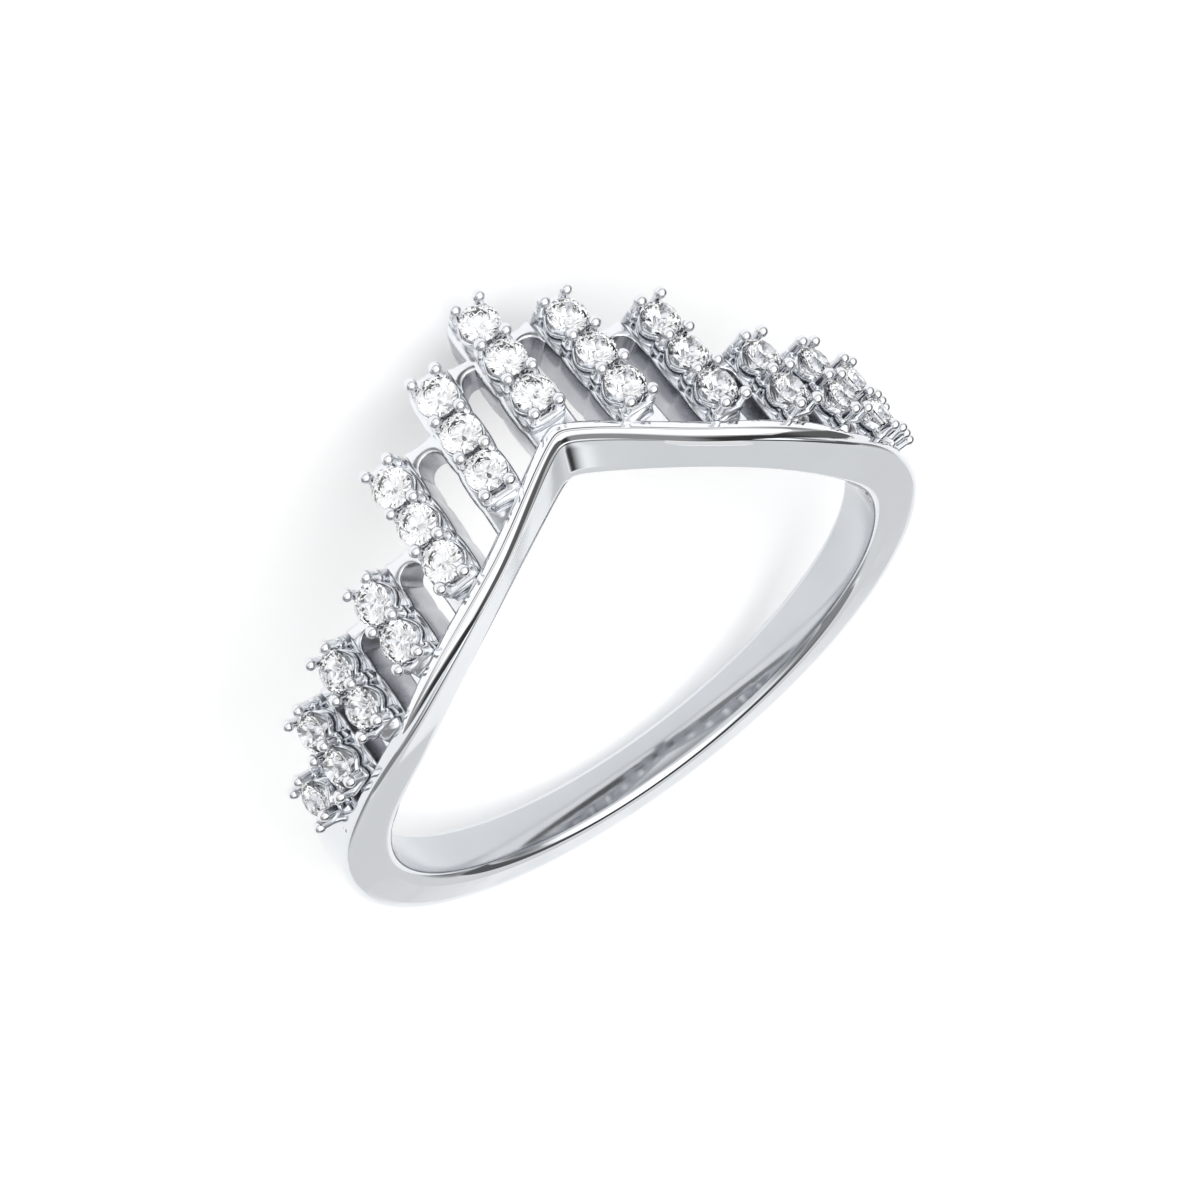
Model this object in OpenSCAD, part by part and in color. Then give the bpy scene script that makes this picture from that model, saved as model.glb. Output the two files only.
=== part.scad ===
// Tiara ring: a plain shank, a chevron band and a crown of thirteen stone-set bars.
// The ring is drawn with the finger hole upright, its front towards -Y and its crown up,
// and lay_down() then turns it over to rest on the tip of the middle bar and the back of the shank.

/* [Shank] */
// Diameter of the finger hole
finger_d = 17; // [16:0.5:19]
// Thickness of the band, measured outwards from the finger
band_t = 1.65; // [1.5:0.05:1.8]
// Width of the shank along the finger
shank_w = 1.75; // [1.6:0.05:1.9]
// Radius of the shank's rounded edges
edge_r = 0.25; // [0.2:0.05:0.3]

/* [Chevron band] */
// Height of the point of the V over the shank's lower side
v_rise = 3.05; // [2.8:0.05:3.2]
// Half width of the V where it runs out into the shank's lower side
v_reach = 7.3; // [7.2:0.1:7.4]
// How much the arms of the V flatten towards the sides, 1 is straight
v_curve = 1.45; // [1.3:0.05:1.5]
// How blunt the point of the V is, 0 is sharp
v_blunt = 0.2; // [0:0.05:0.3]
// Height of the chevron band at its point
v_band_h = 0.72; // [0.65:0.01:0.8]
// How far the band lies back from the shank's outer face
band_back = 0.1; // [0.05:0.01:0.15]
// How far the rail stands proud of the shank's outer face
rail_proud = 0.14; // [0.1:0.01:0.2]

/* [Bars] */
// Angle between neighbouring bars
bar_step = 12.05; // [12:0.05:12.1]
// Width of a bar at its outer face
bar_w = 1.44; // [1.4:0.01:1.48]
// How much closer a side bar's inner edge is to its stones than its outer edge
bar_shift = 0.1; // [0:0.02:0.12]
// Radius of the outer face of the middle bar
crown_r = 10.1; // [10.05:0.01:10.15]
// How much closer to the finger the end bars stand
crown_drop = 0.25; // [0.2:0.01:0.3]
// Outward flare of the bars
flare = 4; // [3:0.5:5]
// Lean of the side bars towards the middle one
lean = 3.8; // [3:0.1:4]

/* [Stones] */
// Diameter of a stone
stone_d = 1.12; // [1.08:0.01:1.12]
// Distance between stones along a bar
stone_pitch = 1.215; // [1.2:0.005:1.23]
// Height of a stone's girdle over the face of its bar
girdle_h = 0.6; // [0.58:0.01:0.62]
// Clearance between a stone and the metal
stone_gap = 0.02; // [0.015:0.005:0.03]

/* [Prongs] */
// Diameter of a prong's stem
prong_d = 0.28; // [0.26:0.01:0.28]
// Diameter of the bead at its tip
bead_d = 0.34; // [0.3:0.01:0.36]
// Height of the middle of the bead over the face of its bar
prong_h = 0.78; // [0.76:0.01:0.82]
// Distance between the two prongs of a pair
prong_span = 0.76; // [0.76:0.01:0.8]

/* [Hidden] */
$fn = 48;
// One row for each bar from the middle outwards: height of the tip's prongs, number of stones
TIP = 0;
COUNT = 1;
BARS = [[7.62, 3], [6.6, 3], [5.48, 3], [3.58, 2], [3.22, 2], [2.91, 2], [2.05, 1]];
last = len(BARS) - 1;

finger_r = finger_d / 2;
outer_r = finger_r + band_t;
// Side reach of the cuts, well outside the ring
far = outer_r + 3;
// Height over everything
over = BARS[0][TIP] + 2;
// The shank starts at this angle from the front, inside the end bars
shank_start = last * bar_step + 3.4;
// The band's lower side lies this far under the finger hole's sharp edge
low_z = -0.1;
v_sink = low_z - 0.15;
// The band is drawn this much deeper than the finger hole that is cut from it
inner_over = 0.08;
// The bars flare and lean about this height
pivot_z = 2.6;
bar_over = 0.2;
bar_corner_r = 0.2;
end_r = 0.5;
// The finger hole is round up to this height and then flares behind the bars
flare_z = 1.75;
// Thickness of the middle bar above that height
bar_t = crown_r - finger_r - (pivot_z - flare_z) * tan(flare);
// Depth of the middle of the end's rounding behind the bar's face
end_y = bar_t + 0.06 - end_r;
bar_foot = 0.02;
// Depth of one solid in the next where they are fused
bite = 0.2;
rail_lift = 0.3;
rail_reach = v_reach + 0.1;

web_back = 0.05;
web_t = 1.3;
web_half = 0.5;
web_dip = 0.08;
web_foot = 0.34;
arch_r = 0.37;

collar_r = 0.6;
collar_h = 0.5;
bead_r = bead_d / 2;
tail_drop = 0.56;

// Proportions of a brilliant cut as shares of its radius
table_share = 0.56;
star_share = 0.77;
crown_share = 0.31;
girdle_share = 0.06;
pavilion_share = 0.86;
lower_share = 0.26;
mains = 8;
main_step = 360 / mains;

bar_numbers = [-last : last];
function row(n) = BARS[abs(n)];
function stone_name(n, j) = str("stone_", n + last + 1, "_", j + 1);

// Lower edge of the V at a distance x from the middle, seen from the front, which ends below the band
function v_low(x) = v_sink + (v_rise - v_sink) * pow(max(0, 1 - norm([x, v_blunt]) / (v_reach + 1)), v_curve);
// How much higher the rail sits on the band near the point of the V
function v_lift(x) = rail_lift * pow(cos(min(90, abs(x) * 26)), 2);
// Foot of the slots there, which is the top of the chevron band
function v_foot(x) = max(0, v_low(x)) + max(0.26, v_band_h - 0.0062 * x * x) + 0.6 * v_lift(x);
// Lower and upper side of the rail, which tapers to a blunt end
function v_rail_low(x) = v_low(x) + v_lift(x);
function v_rail(x) = v_rail_low(x) + 0.57 * sqrt(max(0.003, 1 - pow(max(0, abs(x) - 4.6) / 2.8, 2)));
// Radius of a bar's outer face
function face_r(n) = crown_r - crown_drop * pow(n / last, 2);
// Height of a stone's middle on its bar
function stone_z(n, j) = row(n)[TIP] - (j + 0.5) * stone_pitch;
function row_z(n, j) = row(n)[TIP] - j * stone_pitch;

// The resting line touches the rounded inner corner of the middle bar's end and the rounded back of the shank
tip_len = BARS[0][TIP] + bar_over - end_r - pivot_z;
front_y = -crown_r + end_y * cos(flare) - tip_len * sin(flare);
front_z = pivot_z + end_y * sin(flare) + tip_len * cos(flare);
reach_y = outer_r - edge_r - front_y;
reach_z = front_z - (low_z + shank_w - edge_r);
rest_tilt = atan2(reach_z, reach_y) + asin((end_r - edge_r) / norm([reach_y, reach_z]));
rest_z = front_y * sin(rest_tilt) + front_z * cos(rest_tilt) + end_r;
// Front and back of the ring as it lies, for centring it on its origin
dome_y = -crown_r - prong_h * cos(flare) - (BARS[0][TIP] - pivot_z) * sin(flare);
dome_z = pivot_z - prong_h * sin(flare) + (BARS[0][TIP] - pivot_z) * cos(flare);
lying_front = dome_y * cos(rest_tilt) - dome_z * sin(rest_tilt) - bead_r;
lying_back = (outer_r - edge_r) * cos(rest_tilt) - (low_z + edge_r) * sin(rest_tilt) + edge_r;

// Turns the upright ring over onto its crown and centres it over the surface
module lay_down() {
    translate([0, -(lying_front + lying_back) / 2, rest_z])
        rotate([-rest_tilt, 0, 0]) rotate([0, 180, 0]) children();
}

// Places what is drawn on a bar: x across the bar, -y outwards, z up the bar
module on_bar(n) {
    rotate([0, 0, n * bar_step])
        translate([0, -face_r(n), pivot_z])
            rotate([flare, -sign(n) * lean, 0])
                translate([0, 0, -pivot_z]) children();
}

// Places a shape that is drawn upwards so that it points outwards from a bar
module outwards(n, x, z) {
    on_bar(n) translate([x, 0, z]) rotate([90, 0, 0]) children();
}

// Section of a band with rounded edges, from inside the finger hole to an outer radius
module band_section(outer, height) {
    inner_r = edge_r + inner_over;
    inner = finger_r - inner_over;
    corners = [[outer - edge_r, height - edge_r, edge_r, 0], [inner + inner_r, height - inner_r, inner_r, 90],
        [inner + inner_r, inner_r, inner_r, 180], [outer - edge_r, edge_r, edge_r, 270]];
    translate([0, low_z]) polygon([for (c = corners) for (a = [0 : 22.5 : 90])
        [c[0] + c[2] * cos(c[3] + a), c[1] + c[2] * sin(c[3] + a)]]);
}

// Everything in front of the finger hole between two lines seen from the front
module front_slice(low, high) {
    rotate([90, 0, 0]) linear_extrude(height = far) polygon(concat(low, high));
}

module front_band(inner, outer, spread) {
    rotate([0, 0, -90 - spread]) rotate_extrude(angle = 2 * spread)
        translate([inner, 0]) square([outer - inner, v_rise + 2]);
}

module shank() {
    rotate([0, 0, shank_start - 90]) rotate_extrude(angle = 360 - 2 * shank_start)
        band_section(outer_r, shank_w);
}

// The band under the bars, up to the foot of the slots
module chevron_band() {
    steps = [-12 : 12];
    intersection() {
        rotate([0, 0, -91 - shank_start]) rotate_extrude(angle = 2 * shank_start + 2)
            band_section(outer_r - band_back, v_rise + 2);
        front_slice([[far, -1], [-far, -1]],
            concat([[-far, v_foot(outer_r)]],
                [for (i = steps) let (x = i * outer_r / 12) [x, v_foot(x)]],
                [[far, v_foot(outer_r)]]));
    }
}

// A line along the rail at a share of its height
function rail_line(x, share) = v_rail_low(x) + share * (v_rail(x) - v_rail_low(x));

// The polished rail along the V
module rail() {
    steps = [-14 : 14];
    for (proud = [[rail_proud, 0.74, 0.1], [rail_proud - 0.06, 1, 0]]) {
        intersection() {
            front_band(outer_r - band_t / 2, outer_r + proud[0], 52);
            front_slice([for (i = steps) let (x = i * rail_reach / 14) [x, rail_line(x, proud[2])]],
                [for (i = steps) let (x = -i * rail_reach / 14) [x, rail_line(x, proud[1])]]);
        }
    }
}

// What lies below the V is cut away
module below_v() {
    end = v_reach + 0.9;
    front_slice([[end, -1], [-end, -1]], [for (i = [-18 : 18]) let (x = i * end / 18) [x, v_low(x)]]);
}

// The finger hole, round through the shank and wider behind the flared bars
module finger_hole() {
    rotate_extrude($fn = 96)
        polygon([[0, -1], [finger_r, -1], [finger_r, flare_z], [finger_r + (over - flare_z) * tan(flare), over], [0, over]]);
}

// A plate with a rounded end, narrower at the finger than at its face and drawn deeper than the finger hole
module bar(n) {
    top = row(n)[TIP] + bar_over;
    depth = crown_r - finger_r + 0.3;
    shrink = (crown_r - depth) / crown_r;
    left = -bar_w / 2 + (n > 0 ? bar_shift : 0);
    right = bar_w / 2 - (n < 0 ? bar_shift : 0);
    on_bar(n) intersection() {
        translate([0, 0, bar_foot]) linear_extrude(height = top)
            polygon([[left, 0], [right, 0], [right * shrink, depth], [left * shrink, depth]]);
        translate([0, far, 0]) rotate([90, 0, 0]) linear_extrude(height = 2 * far)
            polygon(concat([[left - 1, -1], [right + 1, -1], [right + 1, top - bar_corner_r]],
                [for (a = [0 : 22.5 : 90]) corner_point(right - bar_corner_r, top - bar_corner_r, bar_corner_r, a)],
                [for (a = [90 : 22.5 : 180]) corner_point(left + bar_corner_r, top - bar_corner_r, bar_corner_r, a)],
                [[left - 1, top - bar_corner_r]]));
        rotate([90, 0, 90]) translate([0, 0, -far]) linear_extrude(height = 2 * far)
            polygon(concat([[-1, -1], [depth + 1, -1], [depth + 1, top - 3 * end_r]],
                [for (a = [0 : 22.5 : 90]) corner_point(end_y, top - end_r, end_r, a)],
                [[-1, top]]));
    }
}

function corner_point(x, y, r, a) = [x + r * cos(a), y + r * sin(a)];

// Bridge from bar n - 0.5 to n + 0.5, or the same on the other side, with a dip on top and an arch below
module web(n) {
    side = sign(n);
    tip = row(abs(n) + 0.5)[TIP];
    spring = tip - web_foot - arch_r;
    on_bar(n) translate([0, web_back + web_t, 0]) rotate([90, 0, 0]) linear_extrude(height = web_t)
        difference() {
            polygon(concat([[web_half * side, spring], [-web_half * side, spring]],
                [for (i = [-5 : 5]) let (x = i * web_half / 5)
                    [x * side, tip + web_dip + 0.3 * x * x]]));
            translate([0, spring]) circle(r = arch_r);
        }
}

// A straight stem with a bead on its end
module prong(n, x, z, r, h) {
    stem = min(r, prong_d / 2);
    low = -90 + asin(stem / r);
    outwards(n, x, z) rotate_extrude()
        polygon(concat([[0, -bite], [stem, -bite]], [for (i = [0 : 5]) let (a = low + i * (67.5 - low) / 5) [r * cos(a), h + r * sin(a)]],
            [[0, h + r * sin(67.5)]]));
}

module prongs(n) {
    for (j = [0 : row(n)[COUNT]], side = [-1, 1]) {
        prong(n, side * prong_span / 2, row_z(n, j), bead_r, prong_h);
    }
}

module collar(n, j) {
    outwards(n, 0, stone_z(n, j)) translate([0, 0, -bite]) cylinder(r = collar_r, h = bite + collar_h);
}

// Small bead below the last stone at each end of the crown
module tail(n) {
    prong(n, 0, row_z(n, 1) - tail_drop, 0.14, 0.3);
}

stone_r = stone_d / 2;
table_r = stone_r * table_share;
girdle_top = stone_r * girdle_share / 2;
table_top = girdle_top + stone_r * crown_share;
culet_z = -girdle_top - stone_r * pavilion_share;

// The hole for a stone in its collar and bar
module seat(n, j) {
    r = stone_r + stone_gap;
    outwards(n, 0, stone_z(n, j)) translate([0, 0, girdle_h]) rotate_extrude()
        polygon([[0, culet_z - 1.4 * stone_gap], [r, -girdle_top - stone_gap / 2], [r, 0.5], [0, 0.5]]);
}

// The band and the bare bars
module frame() {
    difference() {
        union() {
            shank();
            chevron_band();
            rail();
            for (n = bar_numbers) {
                bar(n);
            }
            for (n = [1 : last], side = [-1, 1]) {
                web(side * (n - 0.5));
            }
        }
        finger_hole();
        below_v();
    }
}

// One solid of metal: shank, chevron band with its rail, bars, webs, collars and prongs
module ring_body() {
    color("#c9cbd0") lay_down() union() {
        difference() {
            union() {
                frame();
                for (n = bar_numbers, j = [0 : row(n)[COUNT] - 1]) {
                    collar(n, j);
                }
            }
            for (n = bar_numbers, j = [0 : row(n)[COUNT] - 1]) {
                seat(n, j);
            }
        }
        for (n = bar_numbers) {
            prongs(n);
        }
        tail(-last);
        tail(last);
    }
}

// A brilliant: table, stars, kites and upper halves, girdle, lower halves and pavilion mains
function around(r, z, half) = [for (k = [0 : mains - 1]) let (a = (k + half) * main_step) [r * cos(a), r * sin(a), z]];
crown_slope = (table_top - girdle_top) / (stone_r - table_r);
star_z = girdle_top + (stone_r - stone_r * star_share * cos(main_step / 2)) * crown_slope;
lower_z = -girdle_top - (stone_r - stone_r * lower_share * cos(main_step / 2)) * pavilion_share;
brilliant_points = concat(
    around(table_r, table_top, 0),
    around(stone_r * star_share, star_z, 0.5),
    around(stone_r, girdle_top, 0), around(stone_r, girdle_top, 0.5),
    around(stone_r, -girdle_top, 0), around(stone_r, -girdle_top, 0.5),
    around(stone_r * lower_share, lower_z, 0.5),
    [[0, 0, culet_z]]);
function at(ring, k) = ring * mains + (k + mains) % mains;
brilliant_faces = concat(
    [[for (k = [mains - 1 : -1 : 0]) at(0, k)]],
    [for (k = [0 : mains - 1]) each [
        [at(0, k), at(0, k + 1), at(1, k)],
        [at(0, k), at(1, k), at(2, k), at(1, k - 1)],
        [at(1, k), at(3, k), at(2, k)],
        [at(1, k), at(2, k + 1), at(3, k)],
        [at(2, k), at(3, k), at(5, k), at(4, k)],
        [at(3, k), at(2, k + 1), at(4, k + 1), at(5, k)],
        [at(4, k), at(5, k), at(6, k)],
        [at(5, k), at(4, k + 1), at(6, k)],
        [at(6, k), 7 * mains, at(6, k - 1), at(4, k)]]]);

module stone(n, j) {
    color("#eaf4ff") lay_down() outwards(n, 0, stone_z(n, j)) translate([0, 0, girdle_h])
        polyhedron(points = brilliant_points, faces = brilliant_faces, convexity = 2);
}

ring_body();
for (n = bar_numbers, j = [0 : row(n)[COUNT] - 1]) {
    stone(n, j);
}
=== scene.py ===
"""Dresses the tiara ring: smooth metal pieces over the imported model, clear stones and a pale studio.

Sizes are in millimetres in the ring's upright frame: x across the front, -y towards the front and
z up the crown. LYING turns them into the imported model's frame in metres, where the ring rests on
the tip of its crown and the back of its shank.
"""

import logging
from collections.abc import Callable
from dataclasses import dataclass
from enum import Enum
from functools import cache
from math import acos, asin, atan2, copysign, cos, degrees, hypot, pi, radians, sin, sqrt, tan

import bmesh
import bpy
import numpy as np
from mathutils import Matrix, Quaternion, Vector


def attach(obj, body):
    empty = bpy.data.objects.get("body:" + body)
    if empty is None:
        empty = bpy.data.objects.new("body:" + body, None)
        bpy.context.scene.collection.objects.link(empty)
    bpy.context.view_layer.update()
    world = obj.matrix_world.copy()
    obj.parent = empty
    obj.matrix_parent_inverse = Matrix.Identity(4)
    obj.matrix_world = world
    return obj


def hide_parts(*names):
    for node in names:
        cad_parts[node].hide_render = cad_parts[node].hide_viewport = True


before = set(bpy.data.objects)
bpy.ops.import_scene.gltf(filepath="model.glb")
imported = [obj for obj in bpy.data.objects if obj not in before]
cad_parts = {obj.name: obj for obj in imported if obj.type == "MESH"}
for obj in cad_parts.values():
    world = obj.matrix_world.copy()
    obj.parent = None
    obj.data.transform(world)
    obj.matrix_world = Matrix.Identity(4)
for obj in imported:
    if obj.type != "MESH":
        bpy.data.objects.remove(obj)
LOG = logging.getLogger("tiara_ring")

Point = tuple[float, float, float]
Tint = tuple[float, float, float]
Pair = tuple[float, float]
Stops = tuple[Pair, ...]
Outline = list[Pair]
Rings = list[list[Point]]
Tree = bpy.types.NodeTree
Socket = bpy.types.NodeSocket
Piece = bpy.types.Object


class Slot(Enum):
    """Material slots of the record."""

    METAL = "metal"
    STONE = "stone"


@dataclass(frozen=True)
class RingSizes:
    """Named sizes of the ring, the same as in the part's source."""

    finger_r: float = 8.5
    band_t: float = 1.65
    shank_w: float = 1.75
    low_z: float = -0.1
    v_rise: float = 3.05
    v_reach: float = 7.3
    v_curve: float = 1.45
    v_blunt: float = 0.2
    v_band_h: float = 0.72
    low_sink: float = 0.15
    low_ease: float = 0.02
    end_h: float = 0.26
    taper: float = 0.0062
    foot_lift: float = 0.6
    rail_lift: float = 0.3
    lift_turn: float = 26.0
    rail_h: float = 0.57
    band_back: float = 0.1
    rail_proud: float = 0.14
    rail_over: float = 0.1
    rail_full: float = 4.6
    rail_fade: float = 2.8
    bar_step: float = 12.05
    bar_w: float = 1.44
    bar_shift: float = 0.1
    crown_r: float = 10.1
    crown_drop: float = 0.25
    flare: float = 4.0
    flare_z: float = 1.75
    lean: float = 3.8
    pivot_z: float = 2.6
    bar_over: float = 0.2
    bar_deep: float = 0.06
    end_r: float = 0.5
    edge_r: float = 0.25
    stone_pitch: float = 1.215
    prong_d: float = 0.28
    bead_d: float = 0.34
    prong_h: float = 0.78
    prong_span: float = 0.76
    tips: tuple[float, ...] = (7.62, 6.6, 5.48, 3.58, 3.22, 2.91, 2.05)
    counts: tuple[int, ...] = (3, 3, 3, 2, 2, 2, 1)

    @property
    def last(self) -> int:
        """Number of the end bars, counted from the middle one."""
        return len(self.tips) - 1

    @property
    def outer_r(self) -> float:
        """Radius of the shank's outer face."""
        return self.finger_r + self.band_t

    @property
    def bar_t(self) -> float:
        """Thickness of the middle bar above the round part of the finger hole."""
        return self.crown_r - self.finger_r - (self.pivot_z - self.flare_z) * tan(radians(self.flare))

    @property
    def bar_numbers(self) -> range:
        """Bars from the left end to the right end, 0 in the middle."""
        return range(-self.last, self.last + 1)

    def low(self, x: float) -> float:
        """Lower edge of the band, seen from the front.

        Args:
            x: Distance from the middle.

        Returns:
            Its height.
        """
        sink = self.low_z - self.low_sink
        share = max(0.0, 1 - hypot(x, self.v_blunt) / (self.v_reach + 1))
        line = sink + (self.v_rise - sink) * share ** self.v_curve - self.low_z
        run_out = (hypot(self.low_sink, sqrt(self.low_ease)) - self.low_sink) / 2
        return self.low_z + (line + sqrt(line * line + self.low_ease)) / 2 - run_out

    def lift(self, x: float) -> float:
        """How much higher the rail sits on the band near the point of the V."""
        return self.rail_lift * cos(radians(min(90.0, abs(x) * self.lift_turn))) ** 2

    def foot(self, x: float) -> float:
        """Top of the chevron band, where the slots start."""
        height = max(self.end_h, self.v_band_h - self.taper * x * x)
        return max(0.0, self.low(x)) + height + self.foot_lift * self.lift(x)

    def rail_share(self, x: float) -> float:
        """Share of the rail's full height, which runs out at the ends of the V."""
        return sqrt(max(0.0, 1 - (max(0.0, abs(x) - self.rail_full) / self.rail_fade) ** 2))

    def face_r(self, n: float) -> float:
        """Radius of the outer face of bar n."""
        return self.crown_r - self.crown_drop * (n / self.last) ** 2

    def bar_frame(self, n: float) -> Matrix:
        """Frame of a bar: x across it, y into it from its face, z up along it.

        Args:
            n: Number of the bar, or halfway between two.

        Returns:
            The matrix from the bar's frame to the upright frame.
        """
        side = (n > 0) - (n < 0)
        return (Matrix.Rotation(radians(n * self.bar_step), 4, "Z")
                @ Matrix.Translation((0.0, -self.face_r(n), self.pivot_z))
                @ Matrix.Rotation(radians(-side * self.lean), 4, "Y")
                @ Matrix.Rotation(radians(self.flare), 4, "X")
                @ Matrix.Translation((0.0, 0.0, -self.pivot_z)))

    def stone_heights(self, n: int) -> list[float]:
        """Heights of the stones' middles on bar n."""
        return [self.tips[abs(n)] - (j + 0.5) * self.stone_pitch for j in range(self.counts[abs(n)])]

    def prong_heights(self, n: int) -> list[float]:
        """Heights of the pairs of prongs on bar n."""
        return [self.tips[abs(n)] - j * self.stone_pitch for j in range(self.counts[abs(n)] + 1)]


SIZES = RingSizes()


def lying_matrix(s: RingSizes) -> Matrix:
    """The turn that lays the upright ring on its crown and shank, as the part's source works it out.

    Args:
        s: The ring's sizes.

    Returns:
        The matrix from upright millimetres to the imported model's metres.
    """
    flare = radians(s.flare)
    end_y = s.bar_t + s.bar_deep - s.end_r
    tip_len = s.tips[0] + s.bar_over - s.end_r - s.pivot_z
    front_y = -s.crown_r + end_y * cos(flare) - tip_len * sin(flare)
    front_z = s.pivot_z + end_y * sin(flare) + tip_len * cos(flare)
    reach_y = s.outer_r - s.edge_r - front_y
    reach_z = front_z - (s.low_z + s.shank_w - s.edge_r)
    tilt = atan2(reach_z, reach_y) + asin((s.end_r - s.edge_r) / hypot(reach_y, reach_z))
    rest_z = front_y * sin(tilt) + front_z * cos(tilt) + s.end_r
    rise = s.tips[0] - s.pivot_z
    dome_y = -s.crown_r - s.prong_h * cos(flare) - rise * sin(flare)
    dome_z = s.pivot_z - s.prong_h * sin(flare) + rise * cos(flare)
    front = dome_y * cos(tilt) - dome_z * sin(tilt) - s.bead_d / 2
    back = (s.outer_r - s.edge_r) * cos(tilt) - (s.low_z + s.edge_r) * sin(tilt) + s.edge_r
    turn = Matrix.Rotation(-tilt, 4, "X") @ Matrix.Diagonal((-1.0, 1.0, -1.0, 1.0))
    middle = Matrix.Translation((0.0, -(front + back) / 2, rest_z))
    return Matrix.Scale(0.001, 4) @ middle @ turn


LYING = lying_matrix(SIZES)


class Shell:
    """Collects lofted skins into one closed, smooth mesh."""

    def __init__(self) -> None:
        """Starts with no points."""
        self.points: list[Point] = []
        self.faces: list[tuple[int, ...]] = []

    def loft(self, rings: Rings, closed: bool = False) -> None:
        """Skins a row of closed sections, and caps the ends unless the row closes on itself.

        Args:
            rings: Sections with the same number of points each.
            closed: Whether the last section joins the first.
        """
        start = len(self.points)
        count = len(rings[0])
        for ring in rings:
            self.points.extend(ring)
        spans = len(rings) if closed else len(rings) - 1
        for i in range(spans):
            a = start + i * count
            b = start + ((i + 1) % len(rings)) * count
            for k in range(count):
                m = (k + 1) % count
                self.faces.append((a + k, a + m, b + m, b + k))
        if not closed:
            self.faces.append(tuple(range(start + count - 1, start - 1, -1)))
            end = start + (len(rings) - 1) * count
            self.faces.append(tuple(range(end, end + count)))

    def loft_at(self, place: Matrix, rings: Rings) -> None:
        """Skins sections that are given in another frame, such as a bar's."""
        self.loft([[tuple(place @ Vector(p)) for p in ring] for ring in rings])

    def build(self, name: str) -> Piece:
        """Makes the object, with faces that point outwards and smooth shading.

        Args:
            name: The piece's name.

        Returns:
            The object at the origin, with its place in its mesh.
        """
        mesh = bpy.data.meshes.new(name)
        mesh.from_pydata(self.points, [], self.faces)
        return smooth_object(mesh)


def smooth_object(mesh: bpy.types.Mesh) -> Piece:
    """Lays a closed mesh down, merges its doubles, turns its faces outwards and links it as a smooth object.

    Args:
        mesh: The mesh in upright millimetres, with the piece's name.

    Returns:
        The object at the origin.
    """
    mesh.transform(LYING)
    bm = bmesh.new()
    bm.from_mesh(mesh)
    bmesh.ops.remove_doubles(bm, verts=bm.verts, dist=1e-8)
    bmesh.ops.recalc_face_normals(bm, faces=bm.faces)
    bm.to_mesh(mesh)
    bm.free()
    mesh.update()
    mesh.polygons.foreach_set("use_smooth", [True] * len(mesh.polygons))
    return linked(mesh.name, mesh)


def linked(name: str, data: bpy.types.ID) -> Piece:
    """Makes an object of some data and links it to the scene.

    Args:
        name: The object's name.
        data: Its mesh, camera or light.

    Returns:
        The object.
    """
    piece = bpy.data.objects.new(name, data)
    bpy.context.scene.collection.objects.link(piece)
    return piece


def smooth_share(value: float) -> float:
    """Eases a share from 0 to 1."""
    value = min(1.0, max(0.0, value))
    return value * value * (3 - 2 * value)


def circle(count: int) -> Outline:
    """Cosine and sine at even steps round a circle."""
    return [(cos(2 * pi * i / count), sin(2 * pi * i / count)) for i in range(count)]


def bulged(value: float, power: float) -> float:
    """Raises a sine or cosine to a power and keeps its sign, which turns a circle into a rounded square."""
    return copysign(abs(value) ** power, value)


def round_corner(corner: Pair, sides: tuple[int, int], r: float, quarter: int, count: int) -> Outline:
    """Goes round one rounded corner of a section.

    Args:
        corner: The corner as it would be without its rounding.
        sides: Side of the section that it lies on in both directions, 1 or -1.
        r: Radius of the rounding.
        quarter: Quarter turn at which it starts.
        count: Number of points.

    Returns:
        The points in order.
    """
    points = []
    for i in range(count):
        b = radians(90 * (quarter + i / (count - 1)))
        points.append((corner[0] - sides[0] * r + r * cos(b), corner[1] - sides[1] * r + r * sin(b)))
    return points


def joined(tree: Tree, *rows: tuple[bpy.types.Node, str, bpy.types.Node, str]) -> None:
    """Links nodes by the names of their sockets.

    Args:
        tree: The node tree.
        rows: For each link the first node, its output, the second node and its input.
    """
    for source, output, target, entry in rows:
        tree.links.new(source.outputs[output], target.inputs[entry])


def worked_out(tree: Tree, operation: str, *values: float | Socket) -> Socket:
    """Adds a math node.

    Args:
        tree: The node tree.
        operation: The node's operation.
        values: Its inputs in order, each a number or a socket to link.

    Returns:
        The node's output.
    """
    node = tree.nodes.new("ShaderNodeMath")
    node.operation = operation
    for socket, value in zip(node.inputs, values):
        if isinstance(value, Socket):
            tree.links.new(value, socket)
        else:
            socket.default_value = value
    return node.outputs[0]


def blended(tree: Tree, kind: str, first: Socket, second: Socket) -> Socket:
    """Blends two colours in full.

    Args:
        tree: The node tree.
        kind: The blend type.
        first: The first colour.
        second: The second colour.

    Returns:
        The blended colour.
    """
    node = tree.nodes.new("ShaderNodeMix")
    node.data_type = "RGBA"
    node.blend_type = kind
    node.inputs["Factor"].default_value = 1.0
    tree.links.new(first, node.inputs[6])
    tree.links.new(second, node.inputs[7])
    return node.outputs[2]


def cloud_colour(tree: Tree, scale: float, first: Tint, second: Tint) -> Socket:
    """Adds a cloud of two tints on Object coordinates.

    Args:
        tree: The material's node tree.
        scale: Scale of the cloud.
        first: Tint of its low places.
        second: Tint of its high places.

    Returns:
        The colour's output.
    """
    coords = tree.nodes.new("ShaderNodeTexCoord")
    cloud = tree.nodes.new("ShaderNodeTexNoise")
    cloud.inputs["Scale"].default_value = scale
    ramp = tree.nodes.new("ShaderNodeValToRGB")
    for element, tint in zip(ramp.color_ramp.elements, (first, second)):
        element.color = (*tint, 1.0)
    joined(tree, (coords, "Object", cloud, "Vector"), (cloud, "Fac", ramp, "Fac"))
    return ramp.outputs["Color"]


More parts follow.
